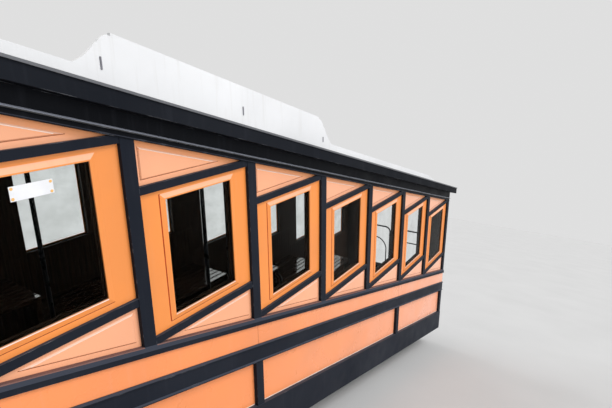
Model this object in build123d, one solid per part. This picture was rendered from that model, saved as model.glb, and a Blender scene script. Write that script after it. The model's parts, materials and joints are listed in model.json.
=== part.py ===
from build123d import *
import math
import os

# Stepped timber funicular car, standing on its flanged wheels in the frame of its track.
# +X runs down the track, +Y to the left of it, +Z square to the track plane.
# Rails, roof and underframe follow the track. Posts, windows, doorways and steps are plumb.
# Heights called up or drop are plumb, and h is a level distance from the uphill end face.

# Slope and bays
slope_deg = 17.0
bay_pitch = 914.0
bay_count = 10
post_width = 80.0
body_width = 1780.0
wall_depth = 60.0
full_posts = (0, 2, 5, 8, 10)

# Levels of the side wall, plumb below the eaves line
belt_top = 1149.0
belt_height = 57.0
belt_proud = 12.0
belt_weathering = 26.0
band_top = 1366.0
band_height = 144.0
band_proud = 4.0
lip_height = 15.0
lip_proud = 13.0
lip_weathering = 9.0
skirt_top = 1902.0
skirt_height = 307.0
skirt_clear = 290.0
frieze_height = 128.0
frieze_lip_height = 9.0
frieze_lip_proud = 6.0

# Level bars of each bay, measured from the eaves at the bay's downhill post
head_bar_up = 13.0
head_bar_height = 44.0
sill_bar_down = 854.0
sill_bar_height = 47.0
bar_set = 3.0

# Window frame, glazing bead and glass
glass_width = 512.0
glass_height = 695.0
glass_side = 155.0
glass_head = 91.0
glass_thick = 6.0
glass_lap = 12.0
glass_set = 24.0
frame_set = 22.0
bead_width = 34.0
bead_flat = 7.0
bead_rise = 6.0

# Raised triangular panels, the flat board under the belt and the recessed lower panels
field_margin = 30.0
field_rise = 6.0
field_taper = 45.0
panel_set = 26.0
panel_thick = 32.0
board_set = 5.0
board_thick = 19.0
lower_panel_set = 30.0
lower_panel_thick = 28.0

# Lining boards inside
lining_thick = 15.0
lining_reveal = 6.0

# Eaves moulding, fascia, soffit and roof
bead_up = 30.0
eaves_bead_height = 15.0
eaves_bead_proud = 14.0
eaves_bead_weathering = 8.0
eaves_out = 90.0
end_out = 20.0
fascia_height = 91.0
fascia_thick = 20.0
soffit_thick = 18.0
drip_height = 12.0
drip_proud = 8.0
roof_crown = 300.0
roof_thick = 28.0
rib_depth = 55.0
rib_width = 45.0
fit_gap = 0.3

# Sign boards on the eaves: half lengths and heights along the outline from its end to its top
sign_in = 46.0
sign_thick = 20.0
sign_low_half = 3930.0
sign_end_taper = 260.0
sign_end_lift = 12.0
sign_low_up = 295.0
sign_foot_half = 1105.0
sign_cove_half = 990.0
sign_cove_up = 412.0
sign_cove_bow = -7.0
sign_step_half = 973.0
sign_step_up = 422.0
sign_round_half = 922.0
sign_round_up = 468.0
sign_round_bow = 5.0
sign_notch_half = 903.0
sign_high_up = 482.0

# Uphill hood: a hump between two horned corners, on two raking stays
hood_thick = 26.0
hood_in = 62.0
hood_hump_up = 790.0
hood_valley_up = 690.0
hood_valley_in = 250.0
hood_horn_up = 960.0
hood_horn_in = 55.0
hood_shoulder_up = 760.0
hood_horn_curve = 22.0
hood_stay_y = 520.0
hood_stay_width = 40.0
hood_stay_up = 620.0
hood_stay_foot = 260.0

# Floor tiers, measured from the eaves at the bay's downhill post
tread_down = 1736.0
floor_thick = 30.0
riser_thick = 26.0

# End walls and doorways
end_wall_set = 12.0
end_wall_thick = 56.0
door_half = 534.0
arch_spring = 150.0
arch_rise = 140.0
end_beam_thick = 60.0
casing_width = 55.0
end_field_in = 42.0
end_field_up = 130.0
end_field_depth = 8.0

# Gates
gate_tube_r = 15.0
gate_jamb_gap = 6.0
gate_middle_gap = 52.0
gate_height = 1050.0
gate_floor_gap = 70.0
gate_hoop_r = 12.0
gate_hoop_bend = 80.0
gate_brace_r = 9.0
gate_brace_in = 60.0
gate_brace_down = 207.0
gate_brace_bend = 200.0
gate_sheet_height = 330.0
gate_sheet_thick = 6.0
tube_sides = 12
gate_pin_r = 8.0
gate_pin_gap = 0.1
gate_pin_long = 22.0
hinge_eye_r = 14.0
hinge_eye_thick = 14.0
hinge_end_gap = 1.0

# Benches, poles and hoops
bench_first = 2
bench_last = 9
seat_down = 1206.0
seat_back_gap = 6.0
slat_width = 46.0
slat_gap = 19.5
slat_thick = 22.0
slat_count = 8
bench_start_gap = 60.0
bench_end_gap = 24.0
cleat_thick = 32.0
cleat_height = 60.0
leg_width = 60.0
leg_set = 30.0
pole_r = 16.0
hoop_r = 12.0
hoop_up = 150.0
hoop_span = 250.0
hoop_bend = 95.0
rail_after_step = 40.0

# Tiers with a pole at the bench's uphill end on each side; the others have a hoop there
right_tiers = (2, 4, 6, 8)
left_tiers = (3, 5, 7, 9)

# Underframe
sole_height = 150.0
sole_width = 65.0
sole_web = 10.0
sole_mid = 545.0
bearer_height = 90.0
bearer_width = 60.0
bearer_wheel_gap = 60.0

# Wheelsets and axle boxes
gauge = 762.0
wheel_tread_r = 200.0
flange_height = 25.0
flange_thick = 26.0
flange_nose = 10.0
flange_gap = 5.0
tread_cone = 3.0
rim_width = 100.0
rim_thick = 32.0
rim_slope = 8.0
web_thick = 24.0
hub_r = 62.0
hub_width = 120.0
axle_r = 45.0
journal_r = 32.0
journal_gap = 0.1
journal_collar = 10.0
journal_end_gap = 20.0
wheelbase = 4400.0
truck_shift = -280.0
box_long = 130.0
box_high = 120.0
box_wide = 110.0
box_mid = 545.0
box_end_wall = 10.0
horn_thick = 14.0
horn_gap = 2.0
horn_width = 70.0
horn_low = 10.0
spring_long = 84.0
spring_wide = 70.0

# Rope clevises on the uphill end beam
clevis_ear = 22.0
clevis_gap = 60.0
clevis_reach = 150.0
clevis_height = 90.0
rope_spread = 170.0

# Pin radius of each rope's clevis, and how far its pin sits above the middle of the beam
rope_pins = {"haul": (20.0, 0.0), "safety": (16.0, 24.0)}

# Buffer blocks on the downhill end beam
buffer_wide = 150.0
buffer_high = 130.0
buffer_long = 70.0
buffer_taper = 8.0
buffer_y = 420.0
buffer_low = 130.0

os.makedirs("parts", exist_ok=True)

# Directions and reference levels
slope = math.radians(slope_deg)
cos_s = math.cos(slope)
sin_s = math.sin(slope)
tan_s = math.tan(slope)
level = Vector(cos_s, 0, sin_s)
plumb = Vector(-sin_s, 0, cos_s)
bay_run = bay_pitch / cos_s
bay_rise = bay_pitch * tan_s
half_width = body_width / 2
body_level = bay_count * bay_pitch + post_width
skirt_bottom = skirt_top + skirt_height
eaves_z = skirt_clear + skirt_bottom * cos_s
inside_half = half_width - wall_depth - lining_thick
seat_depth = slat_count * slat_width + (slat_count - 1) * slat_gap
seat_front = inside_half - seat_back_gap - seat_depth

# The box over everything runs from the hood's horns to the lower edge of the buffers
top_back = -end_out / cos_s - hood_horn_up * sin_s
buffer_drop = skirt_bottom - buffer_low
buffer_face = body_level / cos_s + buffer_drop * sin_s + buffer_long * cos_s
bottom_front = buffer_face + (buffer_high / 2 - buffer_taper) * sin_s
x_start = -(top_back + bottom_front) / 2


def eaves(h):
    """Point of the eaves line over the level distance h from the uphill end face."""
    return Vector(x_start + h / cos_s, 0, eaves_z)


def on_slope(h, drop):
    """Point at a plumb drop below the eaves line."""
    return eaves(h) - plumb * drop


def in_bay(u, up, bay=1):
    """Point of a bay: u level from its uphill post, up plumb from the eaves at its downhill post."""
    return eaves(bay * bay_pitch) + level * (u - bay_pitch) + plumb * up


def slab(points, near, far):
    """Side outline made solid between two depths behind the right-hand post faces."""
    start = Vector(0, near - half_width, 0)
    face = make_face(Polyline(*[p + start for p in points], close=True))
    return extrude(face, amount=far - near, dir=(0, 1, 0))


def strip(h0, h1, drop0, drop1, near, far):
    """Straight member that follows the slope."""
    corners = [on_slope(h0, drop0), on_slope(h1, drop0), on_slope(h1, drop1), on_slope(h0, drop1)]
    return slab(corners, near, far)


def bay_box(u0, u1, up0, up1):
    """Corners of a plumb rectangle in the first bay."""
    return [in_bay(u0, up0), in_bay(u1, up0), in_bay(u1, up1), in_bay(u0, up1)]


def end_plane(h, drop=0.0):
    """Plumb plane across the car: local x is +Y and local y is up."""
    return Plane(origin=on_slope(h, drop), x_dir=(0, 1, 0), z_dir=level)


def along(face, h0, h1):
    """Cross-section drawn on end_plane(h0), run down the slope to h1."""
    return extrude(face, amount=(h1 - h0) / cos_s, dir=(1, 0, 0))


def section(h, points):
    """Closed cross-section of (y, up) corners on the plumb plane at h."""
    return make_face(end_plane(h) * Polyline(*points, close=True))


def box_section(h, y0, y1, up0, up1):
    return section(h, [(y0, up0), (y1, up0), (y1, up1), (y0, up1)])


def wall_rail(outline):
    """Rail along the whole right-hand wall: its section's corners are (proud, drop)."""
    face = section(0, [(-half_width - proud, -drop) for proud, drop in outline])
    return along(face, 0, body_level)


def both_sides(solids):
    """Right-hand solids with their left-hand copies."""
    return group(solids + [other_side(solid) for solid in solids])


def each_bay(solid, bays=range(bay_count)):
    """Copies of a first-bay solid, one pitch apart along the slope."""
    return [Pos(bay * bay_run, 0, 0) * solid for bay in bays]


def other_side(shape):
    return mirror(shape, about=Plane.XZ)


def group(solids):
    """Separate solids kept in one node."""
    return Compound(children=[s for item in solids for s in item.solids()])


def fuse(first, others):
    """One solid from pieces that touch."""
    return first.fuse(*others) if others else first


def write(name, shape):
    export_step(shape, "parts/" + name + ".step")


def write_sides(name, shape):
    write(name + "_right", shape)
    write(name + "_left", other_side(shape))


# Side framework: posts, rails, bars, band and skirt in one joined frame
def side_frame():
    belt_bottom = belt_top + belt_height
    band_bottom = band_top + band_height
    belt_mid = belt_top + belt_height / 2
    band_mid = band_top + band_height / 2
    skirt_mid = skirt_top + skirt_height / 2
    frieze = wall_rail([(-wall_depth, -frieze_height), (0, -frieze_height), (0, -frieze_lip_height),
                        (frieze_lip_proud, -frieze_lip_height / 2), (frieze_lip_proud, 0),
                        (-wall_depth, 0)])
    belt = wall_rail([(-wall_depth, belt_top), (0, belt_top), (belt_proud, belt_top + belt_weathering),
                      (belt_proud, belt_bottom), (-wall_depth, belt_bottom)])
    band = wall_rail([(-wall_depth, band_top), (0, band_top), (lip_proud, band_top + lip_weathering),
                      (lip_proud, band_top + lip_height), (band_proud, band_top + lip_height),
                      (band_proud, band_bottom - lip_height),
                      (lip_proud, band_bottom - lip_height + lip_weathering),
                      (lip_proud, band_bottom), (-wall_depth, band_bottom)])
    parts = [belt, band, strip(0, body_level, skirt_top, skirt_bottom, -band_proud, wall_depth)]
    for post in range(bay_count + 1):
        h0 = post * bay_pitch
        h1 = h0 + post_width
        parts.append(strip(h0, h1, -frieze_height / 2, belt_mid, 0, wall_depth))
        if post in full_posts:
            parts.append(strip(h0, h1, belt_mid, band_mid, board_set + board_thick, wall_depth))
            parts.append(strip(h0, h1, band_mid, skirt_mid, 0, wall_depth))
    bar_u0 = post_width / 2
    bar_u1 = bay_pitch + post_width / 2
    head = bay_box(bar_u0, bar_u1, head_bar_up - head_bar_height, head_bar_up)
    sill = bay_box(bar_u0, bar_u1, -sill_bar_down - sill_bar_height, -sill_bar_down)
    parts += each_bay(slab(head, bar_set, wall_depth))
    parts += each_bay(slab(sill, bar_set, wall_depth))
    return fuse(frieze, parts)


# Window frames: flat stiles and rails with a sloping bead round the glass
glass_u0 = bay_pitch - glass_side - glass_width
glass_u1 = bay_pitch - glass_side
glass_up0 = -glass_head - glass_height
glass_up1 = -glass_head


def window_opening(grow, near, far):
    corners = bay_box(glass_u0 - grow, glass_u1 + grow, glass_up0 - grow, glass_up1 + grow)
    return slab(corners, near, far)


def window_frame():
    outer = bay_box(post_width, bay_pitch, -sill_bar_down, head_bar_up - head_bar_height)
    frame = slab(outer, frame_set, wall_depth)
    bead = window_opening(bead_width, frame_set, wall_depth).faces().sort_by(Axis.Y)[0]
    slant = math.degrees(math.atan((bead_width - bead_flat) / bead_rise))
    frame += extrude(bead, amount=bead_rise, dir=(0, -1, 0), taper=slant)
    frame -= window_opening(0, 0, wall_depth)
    return frame - window_opening(glass_lap, glass_set, wall_depth)


def glass_pane():
    return window_opening(glass_lap, glass_set, glass_set + glass_thick)


# Triangular panels over each head bar and under each sill bar, with a raised field
def raised_panel(corners):
    board = slab(corners, panel_set, panel_set + panel_thick)
    start = Vector(0, panel_set - half_width, 0)
    face = make_face(Polyline(*[p + start for p in corners], close=True))
    field = offset(face, -field_margin, kind=Kind.INTERSECTION)
    return board + extrude(field, amount=field_rise, dir=(0, -1, 0), taper=field_taper)


def upper_triangle():
    high = (bay_pitch - post_width) * tan_s
    tip = bay_pitch - head_bar_up / tan_s
    return [in_bay(post_width, head_bar_up), in_bay(tip, head_bar_up), in_bay(post_width, high)]


def lower_triangle():
    sill_under = -sill_bar_down - sill_bar_height
    tip = bay_pitch - (belt_top + sill_under) / tan_s
    return [in_bay(tip, sill_under), in_bay(bay_pitch, -belt_top), in_bay(bay_pitch, sill_under)]


def side_panels():
    """Flat board from corner to corner, and recessed panels between the full posts."""
    belt_bottom = belt_top + belt_height
    solids = [strip(0, body_level, belt_bottom, band_top, board_set, board_set + board_thick)]
    lower_back = lower_panel_set + lower_panel_thick
    for first, last in zip(full_posts, full_posts[1:]):
        h0 = first * bay_pitch + post_width
        h1 = last * bay_pitch
        solids.append(strip(h0, h1, band_top + band_height, skirt_top, lower_panel_set, lower_back))
    return solids


def lining():
    low = tread_down + bay_rise - (post_width - riser_thick) * tan_s + floor_thick
    far = wall_depth + lining_thick
    sheet = strip(post_width, bay_count * bay_pitch, -frieze_height, low, wall_depth, far)
    return sheet - each_bay(window_opening(lining_reveal, 0, body_width / 2))


write_sides("side_frame", side_frame())
write_sides("window_frames", group(each_bay(window_frame())))
write("window_glass", both_sides(each_bay(glass_pane())))
triangles = each_bay(raised_panel(upper_triangle())) + each_bay(raised_panel(lower_triangle()))
write_sides("triangle_panels", group(triangles))
write_sides("side_panels", group(side_panels()))
write_sides("lining", lining())

# Eaves: bead on the wall, soffit, fascia with its drip edge
roof_h0 = -end_out
roof_h1 = body_level + end_out
fascia_y = half_width + eaves_out
fascia_top = frieze_height + fascia_height
roof_radius = (fascia_y**2 + (roof_crown - fascia_top) ** 2) / (2 * (roof_crown - fascia_top))


def roof_up(y, depth=0.0):
    """Plumb height of the roof's arc at y, or of a surface that deep under it."""
    radius = roof_radius - depth
    return roof_crown - roof_radius + math.sqrt(radius**2 - y**2)


eaves_bead_top = bead_up + eaves_bead_height
eaves_bead = wall_rail([(0, -eaves_bead_top), (eaves_bead_proud, eaves_bead_weathering - eaves_bead_top),
                        (eaves_bead_proud, -bead_up), (0, -bead_up)])
write("eaves_beads", both_sides([eaves_bead]))


def roof_rail(y0, y1, up0, up1):
    """Rail along the whole eaves, between the roof's ends."""
    return along(box_section(roof_h0, y0, y1, up0, up1), roof_h0, roof_h1)


soffit_y = fascia_y - fascia_thick
soffit_top = frieze_height + soffit_thick
write("soffits", both_sides([roof_rail(-soffit_y, wall_depth - half_width, frieze_height, soffit_top)]))
write("fascias", both_sides([roof_rail(-fascia_y, -soffit_y, frieze_height, fascia_top)]))
drip_y = fascia_y + drip_proud
write("drip_edges", both_sides([roof_rail(-drip_y, -fascia_y, fascia_top - drip_height, fascia_top)]))


# Roof: an arched board shell between the fascias, carried by a rib over each post
def arch_band(h, half, under0, under1):
    """Arched cross-section between two depths under the roof's arc."""
    outer = [(-half, roof_up(half, under0)), (0, roof_crown - under0), (half, roof_up(half, under0))]
    inner = [(half, roof_up(half, under1)), (0, roof_crown - under1), (-half, roof_up(half, under1))]
    sides = [Line(outer[2], inner[0]), Line(inner[2], outer[0])]
    return end_plane(h) * make_face([ThreePointArc(*outer), ThreePointArc(*inner)] + sides)


write("roof", along(arch_band(roof_h0, soffit_y, 0, roof_thick), roof_h0, roof_h1))


def roof_rib(h):
    under = roof_thick + fit_gap
    rib = along(arch_band(h, half_width, under, under + rib_depth), h, h + rib_width)
    top = roof_up(half_width, under + rib_depth / 2)
    foot = along(box_section(h, -half_width, wall_depth - half_width, soffit_top, top), h, h + rib_width)
    return fuse(rib, [foot, other_side(foot)])


rib_start = (post_width - rib_width) / 2
write("roof_ribs", group([roof_rib(post * bay_pitch + rib_start) for post in range(bay_count + 1)]))


# Sign boards: a low strip with a raised middle, shouldered by a cove, a quarter round and a step
def sign_board():
    foot = roof_up(half_width - sign_in - sign_thick) + fit_gap
    taper_half = sign_low_half - sign_end_taper
    # Half length and height of each corner, and the bow of the edge from it to the next one
    rows = [(sign_low_half, foot, 0), (sign_low_half, foot + sign_end_lift, 0),
            (taper_half, sign_low_up, 0), (sign_foot_half, sign_low_up, sign_cove_bow),
            (sign_cove_half, sign_cove_up, 0), (sign_step_half, sign_step_up, sign_round_bow),
            (sign_round_half, sign_round_up, 0), (sign_notch_half, sign_round_up, 0),
            (sign_notch_half, sign_high_up, 0)]

    def at(side, half, up):
        return eaves(body_level / 2 + side * half) + plumb * up + Vector(0, sign_in - half_width, 0)

    edges = [Line(at(-1, sign_low_half, foot), at(1, sign_low_half, foot)),
             Line(at(-1, sign_notch_half, sign_high_up), at(1, sign_notch_half, sign_high_up))]
    for side in (-1, 1):
        for (half0, up0, bow), (half1, up1, _) in zip(rows, rows[1:]):
            start = at(side, half0, up0)
            end = at(side, half1, up1)
            if bow:
                middle = at(side, (half0 + half1) / 2 + bow, (up0 + up1) / 2 + bow)
                edges.append(ThreePointArc(start, middle, end))
            else:
                edges.append(Line(start, end))
    return extrude(make_face(edges), amount=sign_thick, dir=(0, 1, 0))


write("sign_boards", both_sides([sign_board()]))


# Floor of level treads and plumb risers in one stepped sheet
def floor_tiers():
    top = []
    low = []
    for bay in range(1, bay_count + 1):
        u0 = 0 if bay == 1 else post_width
        top += [in_bay(u0, -tread_down, bay), in_bay(bay_pitch + post_width, -tread_down, bay)]
        v0 = 0 if bay == 1 else post_width - riser_thick
        v1 = bay_pitch + post_width - (riser_thick if bay < bay_count else 0)
        low += [in_bay(v0, -tread_down - floor_thick, bay), in_bay(v1, -tread_down - floor_thick, bay)]
    near = wall_depth + lining_thick
    return slab(top + low[::-1], near, body_width - near)


write("floor_tiers", floor_tiers())


# End walls: corner panels and an arched header round the doorway
end_h = {"uphill": end_wall_set, "downhill": body_level - end_wall_set - end_wall_thick}
end_bay = {"uphill": 1, "downhill": bay_count}


def tread_level(name):
    """Plumb height of the tread at an end wall's outer face, from the eaves line over it."""
    return (end_h[name] - end_bay[name] * bay_pitch) * tan_s - tread_down


def doorway(name, grow=0.0):
    """Face of an arched doorway, grown all round, on the uphill side of its end wall."""
    foot = tread_level(name)
    spring = -arch_spring - end_wall_thick * tan_s
    half = door_half + grow
    arch = ThreePointArc((half, spring), (0, spring + arch_rise + grow), (-half, spring))
    sides = [Line((half, foot), (half, spring)), Line((-half, spring), (-half, foot))]
    return end_plane(end_h[name]) * make_face([Line((-half, foot), (half, foot)), arch] + sides)


def corner_field(name, up0, up1):
    """Recess in a corner of an end wall's outer face."""
    h = end_h[name] if name == "uphill" else end_h[name] + end_wall_thick - end_field_depth
    y0 = door_half + casing_width + end_field_in
    y1 = half_width - wall_depth - end_field_in
    return extrude(box_section(h, y0, y1, up0, up1), amount=end_field_depth, dir=level)


def end_wall(name):
    """Plumb wall with its doorway and two recessed fields in each corner."""
    h = end_h[name]
    far_h = h + end_wall_thick
    foot = tread_level(name)
    corners = [on_slope(h, -foot), on_slope(far_h, -foot - end_wall_thick * tan_s),
               on_slope(far_h, -frieze_height), on_slope(h, -frieze_height)]
    wall = slab(corners, wall_depth, body_width - wall_depth)
    wall -= extrude(doorway(name), amount=end_wall_thick, dir=level)
    rail = belt_top + belt_height / 2
    for up0, up1 in ((foot + end_field_up, -rail - end_field_in), (end_field_in - rail, -arch_spring)):
        field = corner_field(name, up0, up1)
        wall = wall - field - other_side(field)
    return wall


def door_casing(name):
    """Flat moulding round a doorway, on the outer face of its end wall."""
    face = doorway(name, casing_width) - doorway(name)
    shift = -end_wall_set if name == "uphill" else end_wall_thick
    return Pos(*(level * shift)) * extrude(face, amount=end_wall_set, dir=level)


def hinge_eye(axis_y, foot, h, side):
    """Eye on the jamb that holds a gate pin, with its plane plumb to the pin."""
    eye = Cylinder(hinge_eye_r, hinge_eye_thick, align=(Align.CENTER, Align.CENTER, Align.MIN))
    reach = door_half - abs(axis_y)
    arm = Box(2 * hinge_eye_r, reach, hinge_eye_thick, align=(Align.CENTER, Align.MIN, Align.MIN))
    if side < 0:
        arm = Rot(0, 0, 180) * arm
    eye = eye + arm
    eye -= Cylinder(gate_pin_r + gate_pin_gap, 4 * hinge_eye_thick)
    place = Plane(origin=eaves(h) + plumb * foot + Vector(0, axis_y, 0), x_dir=level, z_dir=plumb)
    return place * eye


gate_axis_y = door_half - gate_jamb_gap - gate_tube_r
gate_mid_h = end_wall_thick / 2
gate_low = gate_floor_gap
gate_top = gate_low + gate_height


def wall_with_hinges(name):
    wall = end_wall(name)
    mid = end_h[name] + gate_mid_h
    foot = tread_level(name) + gate_mid_h * tan_s
    for side in (-1, 1):
        for up in (gate_low - hinge_end_gap - hinge_eye_thick, gate_top + hinge_end_gap):
            wall += hinge_eye(side * gate_axis_y, foot + up, mid, side)
    return wall


def bent_tube(points, radius, bend):
    """Tube with flat sides from a gate's stile along (reach, up) points, with its corners bent."""
    path = Plane.YZ * FilletPolyline(*points, radius=bend)
    start = Plane(origin=(0, *points[0]), z_dir=(0, 1, 0))
    return sweep(start * RegularPolygon(radius, tube_sides), path=path)


def gate(name, side):
    """Leaf of a gate: hinge stile with end pins, bent outer tube, inner brace and a sheet below."""
    h = end_h[name] + gate_mid_h
    foot = tread_level(name) + gate_mid_h * tan_s
    upright = (Align.CENTER, Align.CENTER, Align.MIN)
    stile = Pos(0, 0, gate_low) * Cylinder(gate_tube_r, gate_height, align=upright)
    pins = Pos(0, 0, gate_low - gate_pin_long)
    pins *= Cylinder(gate_pin_r, gate_height + 2 * gate_pin_long, align=upright)
    reach = gate_axis_y - gate_middle_gap / 2 - gate_hoop_r
    low = gate_low + gate_tube_r
    high = gate_top - gate_tube_r
    outer = bent_tube([(0, high), (reach, high), (reach, low), (0, low)], gate_hoop_r, gate_hoop_bend)
    inner_reach = reach - gate_brace_in
    inner_high = high - gate_brace_down
    brace = [(0, inner_high), (inner_reach, inner_high), (inner_reach, low)]
    inner = bent_tube(brace, gate_brace_r, gate_brace_bend)
    sheet_top = low + gate_sheet_height
    rail_end = Plane(origin=(0, 0, sheet_top), z_dir=(0, 1, 0)) * RegularPolygon(gate_brace_r, tube_sides)
    rail = extrude(rail_end, amount=inner_reach)
    sheet = Pos(0, 0, low) * Box(gate_sheet_thick, inner_reach, gate_sheet_height,
                                 align=(Align.CENTER, Align.MIN, Align.MIN))
    leaf = fuse(stile, [pins, outer, inner, rail, sheet])
    if side > 0:
        leaf = Rot(0, 0, 180) * leaf
    axis = eaves(h) + plumb * foot + Vector(0, side * gate_axis_y, 0)
    return Plane(origin=axis, x_dir=level, z_dir=plumb) * leaf


for name in end_h:
    write("end_wall_" + name, wall_with_hinges(name))
    write("gate_" + name + "_right", gate(name, -1))
    write("gate_" + name + "_left", gate(name, 1))


write("door_casings", group([door_casing(name) for name in end_h]))


# End cornices close the roof's ends
def end_cornice(h):
    half = soffit_y
    edge = roof_up(half, roof_thick)
    top = ThreePointArc((-half, edge), (0, roof_crown - roof_thick), (half, edge))
    lines = [Line((half, edge), (half, soffit_top)), Line((half, soffit_top), (-half, soffit_top)),
             Line((-half, soffit_top), (-half, edge))]
    return along(end_plane(h) * make_face([top] + lines), h, h + end_out)


write("end_cornices", group([end_cornice(roof_h0), end_cornice(roof_h1 - end_out)]))


# Uphill hood: a board with a hump between two horned corners, held by two raking stays
def hood_board():
    half = half_width - hood_in
    seat = roof_up(half) + fit_gap
    horn_y = half - hood_horn_in
    valley_y = half - hood_valley_in
    top = [ThreePointArc((-valley_y, hood_valley_up), (0, hood_hump_up), (valley_y, hood_valley_up))]
    base = ThreePointArc((-half, seat), (0, roof_crown + fit_gap), (half, seat))
    for side in (-1, 1):
        middle_y = (horn_y + valley_y) / 2 + hood_horn_curve
        middle_up = (hood_horn_up + hood_valley_up) / 2 - hood_horn_curve
        top.append(ThreePointArc((side * valley_y, hood_valley_up), (side * middle_y, middle_up),
                                 (side * horn_y, hood_horn_up)))
        top.append(Line((side * horn_y, hood_horn_up), (side * half, hood_shoulder_up)))
        top.append(Line((side * half, hood_shoulder_up), (side * half, seat)))
    return extrude(end_plane(roof_h0) * make_face([base] + top), amount=hood_thick, dir=level)


def hood_stay():
    """Raking knee on the roof behind the hood, on its right-hand side."""
    near_y = hood_stay_y - hood_stay_width / 2
    foot = roof_up(near_y) + fit_gap
    back = roof_h0 + hood_thick
    corners = [eaves(back) + plumb * foot, eaves(back + hood_stay_foot) + plumb * foot,
               eaves(back) + plumb * hood_stay_up]
    far = half_width - near_y
    return slab(corners, far - hood_stay_width, far)


stay = hood_stay()
write("uphill_hood", fuse(hood_board(), [stay, other_side(stay)]))

# Benches along both walls, one to a tier: a slatted seat on two cleats, and legs under its front
bench_u0 = post_width + bench_start_gap
bench_u1 = bay_pitch + post_width - bench_end_gap
bench_ends = ((bench_u0, bench_u0 + cleat_thick), (bench_u1 - cleat_thick, bench_u1))
bench_bays = range(bench_first - 1, bench_last)
seat_low = -seat_down - slat_thick
seat_far = half_width - seat_front


def bench():
    near = seat_far - seat_depth
    slats = []
    for slat in range(slat_count):
        start = near + slat * (slat_width + slat_gap)
        slats.append(slab(bay_box(bench_u0, bench_u1, seat_low, -seat_down), start, start + slat_width))
    cleat_low = seat_low - cleat_height
    cleats = [slab(bay_box(u0, u1, cleat_low, seat_low), near, seat_far) for u0, u1 in bench_ends]
    return fuse(cleats[0], cleats[1:] + slats)


def bench_legs():
    far = seat_far - leg_set
    top = seat_low - cleat_height
    return [slab(bay_box(u0, u1, -tread_down, top), far - leg_width, far) for u0, u1 in bench_ends]


write_sides("benches", group(each_bay(bench(), bench_bays)))
legs = [leg for one in bench_legs() for leg in each_bay(one, bench_bays)]
write("bench_legs", both_sides(legs))

# Poles from tread to roof, and bent-tube hoops, between a step and the bench after it
rail_u = post_width + rail_after_step
rail_y = -seat_front - pole_r


def pole(bay):
    foot = in_bay(rail_u, -tread_down, bay) + Vector(0, rail_y, 0)
    up = roof_up(rail_y, roof_thick + fit_gap) + (bay_pitch - rail_u - pole_r) * tan_s - fit_gap
    place = Plane(origin=foot, x_dir=level, z_dir=plumb)
    return place * Cylinder(pole_r, tread_down + up, align=(Align.CENTER, Align.CENTER, Align.MIN))


def hoop(bay):
    """Bent tube, drawn with flat sides, that stands across the end of a bench."""
    foot = in_bay(rail_u, -tread_down, bay) + Vector(0, rail_y, 0)
    high = tread_down - seat_down + hoop_up
    plane = Plane(origin=foot, x_dir=(0, -1, 0), z_dir=level * -1)
    path = plane * FilletPolyline((0, 0), (0, high), (hoop_span, high), (hoop_span, 0), radius=hoop_bend)
    tube = Plane(origin=foot, x_dir=level, z_dir=plumb) * RegularPolygon(hoop_r, tube_sides)
    return sweep(tube, path=path)


def staggered(make, right, left):
    """Solids of the right-hand tiers with mirrored ones of the left-hand tiers."""
    return group([make(bay) for bay in right] + [other_side(make(bay)) for bay in left])


write("poles", staggered(pole, right_tiers, left_tiers))
write("hoops", staggered(hoop, left_tiers, right_tiers))

# Underframe: two channel sole bars, cross bearers and an end beam under each doorway
sole_top = tread_down + bay_rise - (post_width - riser_thick) * tan_s + floor_thick
sole_drop = sole_height / cos_s
sole_h0 = end_beam_thick
sole_h1 = body_level - end_beam_thick


def sole_bar():
    """Right-hand channel with its flanges turned outward."""
    y = sole_width / 2 - sole_mid
    low = -sole_top - sole_drop
    flange = sole_web / cos_s
    pieces = [along(box_section(sole_h0, y - sole_web, y, low, -sole_top), sole_h0, sole_h1)]
    for up in (-sole_top - flange, low):
        pieces.append(along(box_section(sole_h0, y - sole_width, y, up, up + flange), sole_h0, sole_h1))
    return fuse(pieces[0], pieces[1:])


def bearer(x):
    """Cross bearer square to the track, flush with the underside of the sole bars."""
    low = on_slope(0, sole_top + sole_drop).Z
    low_corner = (Align.CENTER, Align.CENTER, Align.MIN)
    long = body_width - 2 * wall_depth
    return Pos(x, 0, low) * Box(bearer_width, long, bearer_height, align=low_corner)


# Wheel places, on which the cross bearers depend
axle_z = wheel_tread_r + flange_height
truck_x = on_slope(body_level / 2, sole_top).X + truck_shift
wheel_x = {"uphill": truck_x - wheelbase / 2, "downhill": truck_x + wheelbase / 2}
bearer_off = wheel_tread_r + flange_height + bearer_wheel_gap
bearer_x = [truck_x] + [x + side * bearer_off for x in wheel_x.values() for side in (-1, 1)]
channel = sole_bar()
write("underframe", fuse(channel, [other_side(channel)] + [bearer(x) for x in bearer_x]))


def end_beam(h, bay):
    """Plumb beam under a doorway, from the floor's underside down to the skirt's edge."""
    u = h - (bay - 1) * bay_pitch
    top = -tread_down - floor_thick
    low = [on_slope(h + end_beam_thick, skirt_bottom), on_slope(h, skirt_bottom)]
    corners = [in_bay(u, top, bay), in_bay(u + end_beam_thick, top, bay)] + low
    return slab(corners, wall_depth, body_width - wall_depth)


write("end_beams", group([end_beam(0, 1), end_beam(sole_h1, bay_count)]))

# Haul rope and safety rope clevises on the uphill end beam, each with its pin across the track
clevis_drop = skirt_bottom - (skirt_bottom - tread_down - bay_rise) / 2


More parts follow.
